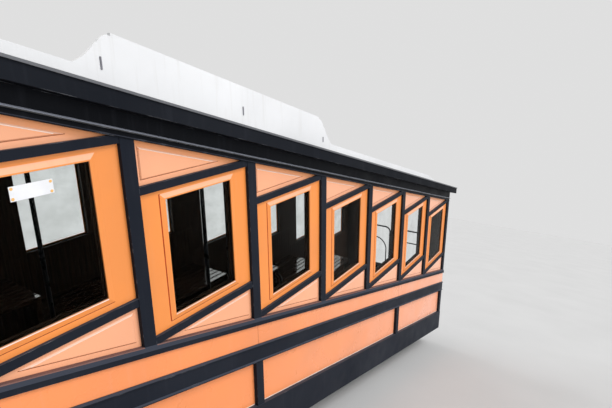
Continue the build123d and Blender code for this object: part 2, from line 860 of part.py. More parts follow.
def clevis(y, pin_r, up):
    """Two tapered ears with a round nose, standing out of the plumb face of the beam."""
    root = on_slope(0, clevis_drop - up)
    pin = root - Vector(clevis_reach - clevis_height / 2, 0, 0)
    half = clevis_height / 2
    face_low = Vector(root.X + half * tan_s, 0, root.Z - half)
    face_up = Vector(root.X - half * tan_s, 0, root.Z + half)
    nose = [pin + Vector(0, 0, half), pin - Vector(half, 0, 0), pin - Vector(0, 0, half)]
    edges = [Line(face_low, face_up), Line(face_up, nose[0]), ThreePointArc(*nose), Line(nose[2], face_low)]
    ears = []
    for side in (-1, 1):
        start = y + side * (clevis_gap + clevis_ear) / 2 - clevis_ear / 2
        ears.append(Pos(0, start, 0) * extrude(make_face(edges), amount=clevis_ear, dir=(0, 1, 0)))
    hole = Pos(pin.X, y, pin.Z) * Rot(90, 0, 0) * Cylinder(pin_r, 2 * clevis_gap + 2 * clevis_ear)
    return [ear - hole for ear in ears]


clevis_y = {"haul": rope_spread / 2, "safety": -rope_spread / 2}
ears = [ear for rope, (pin_r, up) in rope_pins.items() for ear in clevis(clevis_y[rope], pin_r, up)]
write("rope_clevises", group(ears))


# Rubber buffer blocks square to the downhill end beam, narrower at their faces
def buffer():
    middle = on_slope(body_level, buffer_drop) - Vector(0, buffer_y, 0)
    narrow = 2 * buffer_taper
    root = Rectangle(buffer_wide, buffer_high)
    face = Pos(0, 0, buffer_long) * Rectangle(buffer_wide - narrow, buffer_high - narrow)
    return Plane(origin=middle, x_dir=(0, 1, 0), z_dir=level) * loft([root, face])


write("buffers", both_sides([buffer()]))

# Wheelsets: pressed wheels on an axle whose journals run in the axle boxes
flange_y = gauge / 2 - flange_thick - flange_gap
hub_y = flange_y + rim_width / 2
journal_y0 = box_mid - box_wide / 2
journal_end = box_mid + box_wide / 2 - journal_end_gap


def turned(points, x):
    """Ring or shaft turned about an axle: points are (y, radius)."""
    profile = make_face(Polyline(*[(x, y, axle_z + r) for y, r in points], close=True))
    return revolve(profile, axis=Axis((x, 0, axle_z), (0, 1, 0)))


def wheel(x):
    flange_r = wheel_tread_r + flange_height
    inner_r = wheel_tread_r - rim_thick
    y1 = flange_y + rim_width
    web0 = hub_y - web_thick / 2
    web1 = hub_y + web_thick / 2
    hub0 = hub_y - hub_width / 2
    hub1 = hub_y + hub_width / 2
    bore = axle_r + fit_gap
    points = [(flange_y, inner_r), (flange_y, flange_r), (flange_y + flange_nose, flange_r),
              (flange_y + flange_thick, wheel_tread_r), (y1, wheel_tread_r - tread_cone), (y1, inner_r),
              (web1, inner_r - rim_slope), (web1, hub_r + rim_slope), (hub1, hub_r), (hub1, bore),
              (hub0, bore), (hub0, hub_r), (web0, hub_r + rim_slope), (web0, inner_r - rim_slope)]
    return turned(points, x)


def axle(x):
    collar = journal_y0 - journal_collar
    points = [(-journal_end, 0), (-journal_end, journal_r), (-collar, journal_r), (-collar, axle_r),
              (collar, axle_r), (collar, journal_r), (journal_end, journal_r), (journal_end, 0)]
    return turned(points, x)


for name, x in wheel_x.items():
    write("wheels_" + name, both_sides([wheel(x)]))
    write("axle_" + name, axle(x))


# Axle boxes between horn plates under the sole bars, each with a rubber block on top
def axle_box(x):
    box = Pos(x, -box_mid, axle_z) * Box(box_long, box_wide, box_high)
    bore = Pos(x, box_end_wall - box_mid, axle_z) * Rot(90, 0, 0)
    return box - bore * Cylinder(journal_r + journal_gap, box_wide)


sole_low_z = on_slope(0, sole_top + sole_drop).Z


def spring(x):
    base = axle_z + box_high / 2
    upright = (Align.CENTER, Align.CENTER, Align.MIN)
    return Pos(x, -box_mid, base) * Box(spring_long, spring_wide, sole_low_z - base, align=upright)


def horn_pair(x):
    low = axle_z - box_high / 2 - horn_low
    upright = (Align.CENTER, Align.CENTER, Align.MIN)
    plate = Box(horn_thick, horn_width, sole_low_z - low, align=upright)
    off = box_long / 2 + horn_gap + horn_thick / 2
    return [Pos(x + side * off, -box_mid, low) * plate for side in (-1, 1)]


write("axle_boxes", both_sides([axle_box(x) for x in wheel_x.values()]))
write("springs", both_sides([spring(x) for x in wheel_x.values()]))
write("horn_plates", both_sides([plate for x in wheel_x.values() for plate in horn_pair(x)]))
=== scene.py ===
"""Looks of a stepped timber funicular car: materials, small fittings, stage, light and camera."""
import json
import math

import bmesh
import bpy
from mathutils import Matrix, Vector

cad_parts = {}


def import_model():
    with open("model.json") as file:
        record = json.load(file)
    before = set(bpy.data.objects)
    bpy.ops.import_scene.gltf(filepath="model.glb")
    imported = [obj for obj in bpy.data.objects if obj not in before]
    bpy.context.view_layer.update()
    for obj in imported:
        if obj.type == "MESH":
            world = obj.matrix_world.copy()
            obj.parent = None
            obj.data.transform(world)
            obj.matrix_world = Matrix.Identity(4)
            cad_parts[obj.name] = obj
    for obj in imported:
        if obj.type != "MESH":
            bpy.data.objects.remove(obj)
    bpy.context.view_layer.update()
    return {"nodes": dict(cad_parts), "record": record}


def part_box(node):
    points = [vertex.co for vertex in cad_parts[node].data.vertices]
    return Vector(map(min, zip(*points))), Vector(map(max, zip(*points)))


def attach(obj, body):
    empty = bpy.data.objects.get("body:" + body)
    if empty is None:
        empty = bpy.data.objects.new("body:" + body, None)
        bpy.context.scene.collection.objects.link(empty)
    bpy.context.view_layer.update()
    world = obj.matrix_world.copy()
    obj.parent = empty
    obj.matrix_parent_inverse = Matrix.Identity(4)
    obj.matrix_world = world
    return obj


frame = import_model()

# Main sizes of the body, in metres
SLOPE = math.radians(17.0)
BAY = 0.914
BAYS = 10
POST = 0.080
FULL_POSTS = (0, 2, 5, 8, 10)
BODY_WIDTH = 1.780
WALL_DEPTH = 0.060
LINING = 0.015
FRIEZE = 0.128
FASCIA = 0.091
ROOF_CROWN = 0.300
EAVES_OUT = 0.090

# Plumb drops from the eaves line
TREAD_DOWN = 1.736
BELT_TOP = 1.149
BELT_HEIGHT = 0.057
BELT_BOTTOM = BELT_TOP + BELT_HEIGHT
BAND_TOP = 1.366
SKIRT_TOP = 1.902

# Windows and triangular panels, in the coordinates of their bay
GLASS_WIDTH = 0.512
GLASS_HEIGHT = 0.695
GLASS_SIDE = 0.155
GLASS_HEAD = 0.091
GLASS_SET = 0.024
BEAD_WIDTH = 0.034
FRAME_SET = 0.022
PANEL_SET = 0.026
FIELD_MARGIN = 0.030
HEAD_BAR_UP = 0.013
SILL_UNDER = 0.901
LOWER_PANEL_SET = 0.030

COS = math.cos(SLOPE)
SIN = math.sin(SLOPE)
TAN = math.tan(SLOPE)
LEVEL = Vector((COS, 0, SIN))
ACROSS = Vector((0, 1, 0))
PLUMB = Vector((-SIN, 0, COS))
ALONG_TRACK = Vector((1, 0, 0))
OFF_TRACK = Vector((0, 0, 1))
HALF = BODY_WIDTH / 2
INSIDE = HALF - WALL_DEPTH - LINING
GLASS_FACE = HALF - GLASS_SET
BODY_LEVEL = BAYS * BAY + POST

wall_low, wall_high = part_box("side_frame_right")
X_START = wall_low.x + FRIEZE * SIN
X_END = wall_high.x
EAVES_Z = wall_high.z - FRIEZE * COS


def at(h, drop, y):
    """Point at a level distance from the uphill end, a plumb drop below the eaves line, and y."""
    return Vector((X_START + h / COS, y, EAVES_Z)) - PLUMB * drop


def in_bay(u, up, y, bay):
    """Point of a bay: u level from its uphill post, up plumb from the eaves at its downhill post."""
    return at(bay * BAY, 0, y) + LEVEL * (u - BAY) + PLUMB * up


# Materials. LEDGE_PAINT is how far orange paint reaches on each side of the belt rail's top line, and
# the last share is how much shows of the colour over a shade line; under the roof that is painted shade.
ROUND_EDGES = 0.002
BEVEL_SAMPLES = 6
CEILING_BOARD = 0.08
FLOOR_BOARD = 0.10
LEDGE_PAINT = 0.005
SHADE_LINE_SHARE = 0.8

# Main colours
ORANGE = (0.910, 0.292, 0.058)
PALE_ORANGE = (0.950, 0.430, 0.235)
BOARD_ORANGE = (0.940, 0.300, 0.097)
# Painted highlight on the slopes of the orange paint that look up
HIGHLIGHT_PINK = (0.970, 0.565, 0.390)
BLUE_BLACK = (0.0128, 0.0160, 0.0245)
ROOM = (0.030, 0.016, 0.010)
TRIM_WORN = (0.34, 0.35, 0.38)
# Painted sky highlight on the slopes of the trim that look up
TRIM_SKY_HIGHLIGHT = (0.046, 0.053, 0.074)
# Bluish dust on the trim, partly a painted sky sheen
TRIM_DUST_AND_SHEEN = (0.060, 0.064, 0.080)
RUST = (0.110, 0.040, 0.016)


class Nodes:
    """Short calls that add nodes to a tree and link them."""

    def __init__(self, tree):
        self.tree = tree

    def add(self, kind, inputs, **settings):
        node = self.tree.nodes.new("ShaderNode" + kind)
        for name, value in settings.items():
            setattr(node, name, value)
        for name, value in inputs.items():
            self.feed(node.inputs[name], value)
        return node

    def feed(self, socket, value):
        """Link a socket to another, or give it a value."""
        if isinstance(value, bpy.types.NodeSocket):
            self.tree.links.new(value, socket)
        elif socket.type == "RGBA":
            socket.default_value = (*value[:3], 1)
        else:
            socket.default_value = value

    def math(self, operation, *values):
        return self.add("Math", dict(enumerate(values)), operation=operation).outputs[0]

    def times(self, a, b):
        return self.math("MULTIPLY", a, b)

    def span(self, value, low, high, out_low=0.0, out_high=1.0):
        """The value from low to high, brought to the range out_low to out_high."""
        inputs = {"Value": value, "From Min": low, "From Max": high, "To Min": out_low, "To Max": out_high}
        return self.add("MapRange", inputs).outputs["Result"]


class Look(Nodes):
    """A procedural material, in coordinates that run level, across and plumb."""

    def __init__(self, name, roughness, specular, metallic=0.0, coat=0.0, coat_roughness=0.15):
        self.material = bpy.data.materials.new(name)
        self.material.use_nodes = True
        super().__init__(self.material.node_tree)
        self.shader = self.tree.nodes["Principled BSDF"]
        self.shader.inputs["Roughness"].default_value = roughness
        self.shader.inputs["Specular IOR Level"].default_value = specular
        self.shader.inputs["Metallic"].default_value = metallic
        self.shader.inputs["Coat Weight"].default_value = coat
        self.shader.inputs["Coat Roughness"].default_value = coat_roughness
        self.place = self.add("TexCoord", {}).outputs["Object"]
        axes = [self.dot(self.place, axis) for axis in (LEVEL, ACROSS, PLUMB)]
        self.axes = self.add("CombineXYZ", dict(enumerate(axes))).outputs[0]
        self.normal = self.add("NewGeometry", {}).outputs["Normal"]

    def dot(self, a, b):
        return self.add("VectorMath", {0: a, 1: b}, operation="DOT_PRODUCT").outputs["Value"]

    def noise(self, scale, detail=4, stretch=(1, 1, 1)):
        """Cloudy pattern from 0 to 1; stretch is the size of its spots along each axis."""
        squeezed = tuple(1 / s for s in stretch)
        vector = self.add("VectorMath", {0: self.axes, 1: squeezed}, operation="MULTIPLY").outputs[0]
        node = self.add("TexNoise", {"Vector": vector, "Scale": scale, "Detail": detail})
        return node.outputs["Fac"]

    def mix(self, amount, first, second):
        return self.add("Mix", {0: amount, 6: first, 7: second}, data_type="RGBA").outputs[2]

    def rounded(self, radius):
        """Normal of the piece as if its edges were rounded."""
        return self.add("Bevel", {"Radius": radius}, samples=BEVEL_SAMPLES).outputs[0]

    def edges(self, radius):
        """Mask that is 1 on the edges of the piece."""
        return self.span(self.dot(self.rounded(radius), self.normal), 0.985, 0.80)

    def facing(self, axis, low=0.3, high=0.9):
        """Mask of the faces that look along an axis."""
        return self.span(self.dot(self.normal, axis), low, high)

    def joints(self, axis, width, gap):
        """Mask of the gaps between boards of one width that lie side by side along an axis."""
        from_joint = self.math("PINGPONG", self.dot(self.place, axis), width / 2)
        return self.span(from_joint, 0.0, gap, 1.0, 0.0)

    def finish(self, colour, height, distance, strength, roughness=None):
        """Give the shader its colour, and rounded edges with a relief on top."""
        self.feed(self.shader.inputs["Base Color"], colour)
        relief = {"Height": height, "Strength": strength, "Distance": distance,
                  "Normal": self.rounded(ROUND_EDGES)}
        self.feed(self.shader.inputs["Normal"], self.add("Bump", relief).outputs[0])
        if roughness is not None:
            self.feed(self.shader.inputs["Roughness"], roughness)
        return self.material


def belt_ledge(look):
    """Mask of the belt rail's upper edge between the posts."""
    height = look.dot(look.place, OFF_TRACK)
    near_top = look.math("COMPARE", height, EAVES_Z - BELT_TOP * COS, LEDGE_PAINT * COS)
    level = look.math("SUBTRACT", look.dot(look.place, LEVEL), LEVEL.dot(at(0, 0, 0)))
    between = look.math("GREATER_THAN", look.math("FLOORED_MODULO", level, BAY), POST)
    return look.times(look.facing(PLUMB, 0.2, 0.3), look.times(near_top, between))


def paint(name, base, worn, dust_and_sheen, roughness=0.38, specular=0.35, wear=0.55, streaks=0.25, chips=(0.50, 0.66),
          slope_highlight=None, slope_highlight_share=0.8, fade=None, sheltered=None, shelter=(-0.055, -0.010), ledge=None,
          inside=None):
    """Brushed oil paint on timber: faded in clouds, streaked by rain, rubbed at the edges.

    Chips are the levels of a noise between which the edges are rubbed through. Slopes that look up get a
    painted highlight. The downhill tone takes over in clouds, more so downhill: faded paint, and on the
    orange boards and panels also a painted sheen. What lies over the shade-line heights, taken from the
    eaves line, has the colour over the shade line, which under the roof is painted shade. Dust on the trim
    is partly a painted sky sheen. The ledge colour lies along the upper edge of the belt rail, between the
    posts. What lies deeper than the face of the glass has the colour of the room."""
    look = Look(name, roughness, specular)
    faded = tuple(0.90 * c + 0.02 * max(base) for c in base)
    bright = tuple(min(1.03 * c + 0.004, 0.97) for c in base)
    colour = look.mix(look.span(look.noise(1.6, 5), 0.35, 0.68), faded, bright)
    # Downhill tone in clouds: faded paint, and on the orange boards and panels a painted sheen too
    if fade:
        downhill = look.span(look.dot(look.place, ALONG_TRACK), 0.0, X_END, 0.0, 0.75)
        cloudy = look.times(downhill, look.span(look.noise(2.2, 4), 0.30, 0.62, 0.55, 1.0))
        colour = look.mix(cloudy, colour, fade)
    # Painted shade: above a line of heights taken from the eaves line, the colour over the shade line takes
    # over
    if sheltered:
        height = look.dot(look.place, OFF_TRACK)
        over_shade_line = look.span(height, EAVES_Z + shelter[0], EAVES_Z + shelter[1])
        colour = look.mix(look.times(over_shade_line, SHADE_LINE_SHARE), colour, sheltered)
    if ledge:
        colour = look.mix(belt_ledge(look), colour, ledge)
    # Painted highlight on the slopes that look up
    if slope_highlight:
        colour = look.mix(look.times(look.facing(PLUMB, 0.04, 0.16), slope_highlight_share), colour, slope_highlight)
    rain = look.times(look.span(look.noise(30, 4, (1, 1, 14)), 0.56, 0.80), streaks)
    colour = look.mix(rain, colour, dust_and_sheen)
    rubbed = look.times(look.edges(0.004), look.span(look.noise(26, 6, (3, 1, 1)), *chips))
    colour = look.mix(look.times(rubbed, wear), colour, worn)
    # Dust on faces that look up; on the trim and the eaves bead it is partly a painted sky sheen
    tops_dust_and_sheen = look.times(look.facing(PLUMB), look.span(look.noise(9, 5), 0.30, 0.70, 0.25, 0.60))
    colour = look.mix(tops_dust_and_sheen, colour, dust_and_sheen)
    if inside:
        from_middle = look.math("ABSOLUTE", look.dot(look.place, ACROSS))
        colour = look.mix(look.span(from_middle, GLASS_FACE - 0.002, GLASS_FACE - 0.004), colour, inside)
    brush = look.math("ADD", look.noise(220, 3, (9, 1, 1)), look.times(look.noise(45, 3), 0.6))
    gloss = look.span(look.noise(5, 5), 0.3, 0.7, roughness - 0.07, roughness + 0.09)
    return look.finish(colour, brush, 0.00025, 0.35, gloss)


def trim_black(name, base=BLUE_BLACK, roughness=0.50, specular=0.045, **more):
    """Blue-black trim: chipped, and dusty with the dust partly a painted sky sheen; a painted sky
    highlight lies on its slopes that look up.
    """
    return paint(name, base, TRIM_WORN, TRIM_DUST_AND_SHEEN, roughness, specular, wear=0.8, streaks=0.12,
                 chips=(0.53, 0.68), slope_highlight=TRIM_SKY_HIGHLIGHT, **more)


def varnished(name, light, dark, roughness, specular, coat, coat_ior, coat_roughness, grain):
    """Brown varnished timber; the grain stretches along the axis with the large number. Faces that
    look up are paler, by wear and by painted light.
    """
    look = Look(name, roughness, specular, coat=coat, coat_roughness=coat_roughness)
    look.shader.inputs["Coat IOR"].default_value = coat_ior
    lines = look.noise(70, 6, grain)
    colour = look.mix(look.span(lines, 0.34, 0.68), dark, light)
    pores = look.span(look.noise(240, 3, grain), 0.58, 0.75, 0.0, 0.5)
    colour = look.mix(pores, colour, tuple(0.35 * c for c in dark))
    # Paler on faces that look up: wear, and painted light on the tops
    trodden_and_lit = look.times(look.facing(PLUMB), look.span(look.noise(6, 5), 0.45, 0.75, 0.0, 0.45))
    colour = look.mix(trodden_and_lit, colour, tuple(1.9 * c + 0.015 for c in light))
    rough = look.span(lines, 0.3, 0.7, roughness - 0.06, roughness + 0.12)
    return look.finish(colour, lines, 0.0004, 0.4, rough)


def steel(name, base, roughness, metallic, rusty, worn=(0.22, 0.21, 0.20)):
    """Black-painted or bare steel, with rust in patches and bright rubbed edges."""
    look = Look(name, roughness, 0.4, metallic)
    colour = look.mix(look.span(look.noise(4, 5), 0.35, 0.7), base, tuple(1.5 * c for c in base))
    patches = look.times(look.span(look.noise(11, 8), 0.52, 0.70), rusty)
    colour = look.mix(patches, colour, RUST)
    rubbed = look.times(look.edges(0.003), look.span(look.noise(34, 5), 0.45, 0.65, 0.0, 0.6))
    colour = look.mix(rubbed, colour, worn)
    rough = look.span(look.noise(18, 5), 0.35, 0.7, roughness - 0.08, roughness + 0.14)
    return look.finish(colour, look.noise(130, 5), 0.0003, 0.5, rough)


def canvas():
    """Painted roof canvas outside, with brown boards under it."""
    look = Look("roof_canvas", 0.75, 0.3)
    cloud = look.mix(look.span(look.noise(1.3, 7), 0.35, 0.68), (0.19, 0.19, 0.185), (0.29, 0.285, 0.275))
    stain = look.span(look.noise(5, 6, (4, 1, 1)), 0.55, 0.75, 0.0, 0.6)
    cloud = look.mix(stain, cloud, (0.13, 0.12, 0.105))
    grain = look.span(look.noise(60, 5, (14, 1, 1)), 0.3, 0.7)
    boards = look.mix(grain, (0.050, 0.030, 0.019), (0.090, 0.054, 0.033))
    boards = look.mix(look.joints(ACROSS, CEILING_BOARD, 0.0022), boards, (0.008, 0.005, 0.004))
    colour = look.mix(look.facing(PLUMB, -0.2, 0.2), boards, cloud)
    weave = look.add("TexWave", {"Vector": look.place, "Scale": 400.0, "Distortion": 1.0}).outputs["Fac"]
    return look.finish(colour, weave, 0.0002, 0.35)


def rubber():
    look = Look("rubber", 0.7, 0.35)
    colour = look.mix(look.span(look.noise(9, 6), 0.35, 0.7), (0.014, 0.014, 0.014), (0.036, 0.034, 0.031))
    return look.finish(colour, look.noise(160, 4), 0.0003, 0.4)


def glass():
    """Clear float glass with a faint haze of dust."""
    look = Look("window_glass", 0.02, 0.5)
    look.shader.inputs["Transmission Weight"].default_value = 1.0
    look.shader.inputs["IOR"].default_value = 1.05
    dust_and_sheen = look.span(look.noise(7, 6), 0.40, 0.75)
    colour = look.mix(dust_and_sheen, (0.93, 0.955, 0.95), (0.80, 0.82, 0.81))
    look.feed(look.shader.inputs["Base Color"], colour)
    look.feed(look.shader.inputs["Roughness"], look.span(dust_and_sheen, 0.0, 1.0, 0.005, 0.03))
    return look.material


def floor_boards():
    """Dark trodden boards that run across the car, worn pale along the gangway."""
    look = Look("floor_wood", 0.6, 0.4)
    lines = look.noise(60, 6, (1, 14, 1))
    colour = look.mix(look.span(lines, 0.34, 0.68), (0.055, 0.036, 0.024), (0.115, 0.078, 0.052))
    gangway = look.span(look.math("ABSOLUTE", look.dot(look.place, ACROSS)), 0.42, 0.12)
    scuffs = look.times(gangway, look.span(look.noise(8, 6), 0.38, 0.72))
    colour = look.mix(look.times(scuffs, 0.7), colour, (0.24, 0.20, 0.165))
    colour = look.mix(look.joints(LEVEL, FLOOR_BOARD, 0.002), colour, (0.010, 0.007, 0.005))
    return look.finish(colour, lines, 0.0005, 0.5)


def groove_dirt_and_shade(name="groove_dirt_and_shade", low=(0.24, 0.048, 0.018), high=(0.46, 0.110, 0.040)):
    """Deep orange: dirt in the board joints, painted shade in the grooves and beside the beads."""
    look = Look(name, 0.8, 0.1)
    colour = look.mix(look.span(look.noise(22, 5), 0.35, 0.7), low, high)
    return look.finish(colour, look.noise(150, 3), 0.0002, 0.3)


def plain(name, low, high, roughness):
    """Even finish with a faint cloud in it."""
    look = Look(name, roughness, 0.3)
    colour = look.mix(look.span(look.noise(9, 4), 0.35, 0.68), low, high)
    return look.finish(colour, look.noise(90, 3), 0.0001, 0.2)


looks = {
    "trim_paint": trim_black("trim_paint"),
    # Frame paint: a painted pink highlight on its slopes that look up
    "orange_paint": paint("orange_paint", ORANGE, (0.95, 0.62, 0.38), (0.78, 0.32, 0.14),
                          slope_highlight=HIGHLIGHT_PINK, slope_highlight_share=0.65, inside=ROOM),
    # Raised panels: painted shade just under the eaves, a painted highlight on slopes that look up, and a
    # downhill tone that is partly a painted sheen
    "pale_orange_paint": paint("pale_orange_paint", PALE_ORANGE, (0.96, 0.70, 0.52), (0.84, 0.42, 0.26),
                               slope_highlight=(0.97, 0.66, 0.52), fade=(0.965, 0.540, 0.390),
                               sheltered=(0.970, 0.370, 0.130)),
    "window_glass": glass(),
    "brown_wood": varnished("brown_wood", (0.060, 0.033, 0.020), (0.026, 0.014, 0.009), 0.42, 0.12,
                            coat=0.02, coat_ior=1.5, coat_roughness=0.15, grain=(1, 1, 14)),
    # Eaves bead: near-black on its lower edge is a painted shadow, and the grey over the shade line is
    # brightened as a painted highlight
    "grey_moulding": paint("grey_moulding", (0.006, 0.006, 0.007), (0.42, 0.43, 0.47), (0.30, 0.32, 0.38),
                           0.3, 0.5, sheltered=(0.440, 0.470, 0.560), shelter=(0.034, 0.035)),
    "roof_canvas": canvas(),
    "white_paint": paint("white_paint", (0.83, 0.84, 0.86), (0.50, 0.49, 0.47), (0.52, 0.50, 0.46),
                         0.45, 0.4, wear=0.15),
    "floor_wood": floor_boards(),
    "black_steel": steel("black_steel", (0.010, 0.011, 0.013), 0.30, metallic=0.0, rusty=0.12),
    # Seat slats: their pale tops are partly painted light
    "slat_wood": varnished("slat_wood", (0.130, 0.070, 0.040), (0.055, 0.028, 0.016), 0.14, 0.5,
                           coat=1.0, coat_ior=2.9, coat_roughness=0.05, grain=(14, 1, 1)),
    "frame_steel": steel("frame_steel", (0.030, 0.028, 0.026), 0.55, metallic=0.1, rusty=0.6),
    "worn_steel": steel("worn_steel", (0.085, 0.075, 0.068), 0.50, metallic=0.55, rusty=0.7,
                        worn=(0.42, 0.40, 0.38)),
    "rubber": rubber(),
}
slot_of = {part["node"]: part["material_slot"] for part in frame["record"]["subparts"]}
for name, node in frame["nodes"].items():
    for slot in node.material_slots:
        slot.material = looks[slot_of[name]]

# Nodes that differ a little from the look of their slot
own_looks = {
    # Flat boards: their paler downhill tone is partly a painted sheen
    ("side_panels_right", "side_panels_left"): paint(
        "board_paint", BOARD_ORANGE, (0.95, 0.62, 0.42), (0.86, 0.36, 0.20), 0.30, 0.5,
        fade=(0.960, 0.500, 0.360)),
    # Side frames and soffits: near-black over the eaves line is painted shade on the frieze and soffits
    ("side_frame_right", "side_frame_left", "soffits"): trim_black(
        "eaves_black", sheltered=(0.0040, 0.0043, 0.0053), shelter=(-0.003, 0.003), ledge=(0.88, 0.32, 0.14)),
    ("fascias",): trim_black(
        "fascia_paint", (0.0120, 0.0140, 0.0190), 0.55, 0.02, fade=(0.0060, 0.0062, 0.0060)),
    ("drip_edges",): paint(
        "drip_paint", (0.13, 0.135, 0.15), (0.55, 0.55, 0.56), (0.30, 0.29, 0.28), 0.4, 0.3),
}
for names, material in own_looks.items():
    for name in names:
        frame["nodes"][name].material_slots[0].material = material


# Small fittings in mesh code
STRIP_THICK = 0.0004


class Piece:
    """One mesh that is gathered from small parts and then rides on a body."""

    def __init__(self, name, slot, body="car_body", material=None):
        self.name = name
        self.slot = slot
        self.body = body
        self.material = material or looks[slot]
        self.mesh = bmesh.new()

    def prism(self, outline, direction, soften):
        """Outline made solid along a direction, with its edges chamfered."""
        low = [self.mesh.verts.new(point) for point in outline]
        high = [self.mesh.verts.new(point + direction) for point in outline]
        count = len(outline)
        faces = [self.mesh.faces.new(low[::-1]), self.mesh.faces.new(high)]
        for i in range(count):
            j = (i + 1) % count
            faces.append(self.mesh.faces.new((low[i], low[j], high[j], high[i])))
        if soften:
            edges = list(dict.fromkeys(edge for face in faces for edge in face.edges))
            bmesh.ops.bevel(self.mesh, geom=edges, offset=soften, segments=1, affect="EDGES")

    def box(self, corner, a, b, c, soften=0.0):
        """Block with one corner and three edge vectors."""
        self.prism([corner, corner + a, corner + a + b, corner + b], c, soften)

    def disc(self, centre, axis, radius, thick, sides, soften=0.0):
        """Round plate or bolt that stands from centre along its axis."""
        first = axis.orthogonal().normalized()
        second = axis.cross(first).normalized()
        turns = [2 * math.pi * i / sides for i in range(sides)]
        rim = [centre + first * (radius * math.cos(t)) + second * (radius * math.sin(t)) for t in turns]
        self.prism(rim, axis.normalized() * thick, soften)

    def strip(self, start, end, face, width):
        """Flat strip from start to end on a face whose outward normal is given."""
        along = end - start
        sideways = face.cross(along).normalized() * width
        self.box(start - sideways / 2, along, sideways, face * STRIP_THICK)

    def done(self):
        data = bpy.data.meshes.new(self.name)
        bmesh.ops.recalc_face_normals(self.mesh, faces=self.mesh.faces)
        self.mesh.to_mesh(data)
        self.mesh.free()
        data.materials.append(self.material)
        piece = bpy.data.objects.new(self.name, data)
        bpy.context.scene.collection.objects.link(piece)
        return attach(piece, self.body)


# Beadboard under the windows inside, with a capping rail in each bay
BOARD_COUNT = 18
BOARD_THICK = 0.004
BOARD_GAP = 0.0025
BOARD_TOP = -0.812
BOARD_SOFT = 0.0012
CAP_HEIGHT = 0.022
CAP_OUT = 0.0045
CAP_SOFT = 0.0015


def beadboard():
    piece = Piece("beadboard", "brown_wood")
    caps = Piece("beadboard_caps", "brown_wood")
    pitch = BAY / BOARD_COUNT
    width = LEVEL * (pitch - BOARD_GAP)
    height = PLUMB * (BOARD_TOP + TREAD_DOWN)
    for side in (-1, 1):
        y = side * INSIDE
        for bay in range(1, BAYS + 1):
            for board in range(BOARD_COUNT):
                corner = in_bay(POST + board * pitch + BOARD_GAP / 2, -TREAD_DOWN, y, bay)
                piece.box(corner, width, height, ACROSS * (-side * BOARD_THICK), BOARD_SOFT)
            corner = in_bay(POST, BOARD_TOP, y, bay)
            caps.box(corner, LEVEL * BAY, PLUMB * CAP_HEIGHT, ACROSS * (-side * CAP_OUT), CAP_SOFT)
    piece.done()
    caps.done()


# Metal nosings on the tier edges: a plate on the tread and a lip down the riser
NOSING_WIDTH = 0.015
NOSING_THICK = 0.003
NOSING_DROP = 0.020
NOSING_CLEAR = 0.001
NOSING_SOFT = 0.001
LIP_SOFT = 0.0008


def nosings():
    piece = Piece("tread_nosings", "worn_steel")
    span = ACROSS * (2 * (INSIDE - NOSING_CLEAR))
    width = LEVEL * (NOSING_WIDTH + NOSING_THICK)
    for bay in range(1, BAYS):
        edge = in_bay(BAY + POST, -TREAD_DOWN, NOSING_CLEAR - INSIDE, bay)
        piece.box(edge - LEVEL * NOSING_WIDTH, width, span, PLUMB * NOSING_THICK, NOSING_SOFT)
        piece.box(edge, LEVEL * NOSING_THICK, span, PLUMB * -NOSING_DROP, LIP_SOFT)
    piece.done()


def inset(corners, margin):
    """Corners of a triangle moved in by a margin."""
    centre = Vector((sum(u for u, _ in corners) / 3, sum(v for _, v in corners) / 3))
    points = [Vector(corner) for corner in corners]
    lines = []
    for a, b in zip(points, points[1:] + points[:1]):
        normal = Vector((-(b - a).y, (b - a).x)).normalized()
        if normal.dot(centre - a) < 0:
            normal = -normal
        lines.append((a + normal * margin, (b - a).normalized()))
    moved = []
    for (a, d), (b, e) in zip(lines[-1:] + lines[:-1], lines):
        t = ((b - a).x * e.y - (b - a).y * e.x) / (d.x * e.y - d.y * e.x)
        moved.append(tuple(a + d * t))
    return moved


def triangles(margin):
    """The triangles over the head bar and under the sill bar of a bay, moved in by a margin."""
    high = [(POST, HEAD_BAR_UP), (BAY - HEAD_BAR_UP / TAN, HEAD_BAR_UP), (POST, (BAY - POST) * TAN)]
    low = [(BAY - (BELT_TOP - SILL_UNDER) / TAN, -SILL_UNDER), (BAY, -BELT_TOP), (BAY, -SILL_UNDER)]
    return inset(high, margin), inset(low, margin)


# Painted shade: strips along the foot of each window, along the lower edge of each raised field and the
# uphill edge of the upper ones, and a wider strip beside the uphill bead of each window
GROOVE = 0.0036
BEAD_GROOVE = 0.0110


def grooves():
    """Strips along some edges of each outline; an edge has the number of the corner that it starts at."""
    # Painted shade strips
    shade_lines = Piece("groove_lines", "orange_paint", material=groove_dirt_and_shade())
    shade = Piece("bead_grooves", "orange_paint",
                  material=groove_dirt_and_shade("bead_shade", (0.30, 0.028, 0.006), (0.50, 0.060, 0.013)))
    u0 = BAY - GLASS_SIDE - GLASS_WIDTH - BEAD_WIDTH
    u1 = BAY - GLASS_SIDE + BEAD_WIDTH
    up0 = -GLASS_HEAD - GLASS_HEIGHT - BEAD_WIDTH
    up1 = -GLASS_HEAD + BEAD_WIDTH
    window = [(u0, up0), (u1, up0), (u1, up1), (u0, up1)]
    high, low = triangles(FIELD_MARGIN)
    for side in (-1, 1):
        for piece, outline, depth, edges, width in (
                (shade_lines, window, FRAME_SET, (0,), GROOVE), (shade, window, FRAME_SET, (3,), BEAD_GROOVE),
                (shade_lines, high, PANEL_SET, (0, 2), GROOVE), (shade_lines, low, PANEL_SET, (0,), GROOVE)):
            y = side * (HALF - depth)
            for bay in range(1, BAYS + 1):
                points = [in_bay(u, up, y, bay) for u, up in outline]
                ends = list(zip(points, points[1:] + points[:1]))
                for edge in edges:
                    piece.strip(*ends[edge], ACROSS * side, width)
    shade_lines.done()
    shade.done()


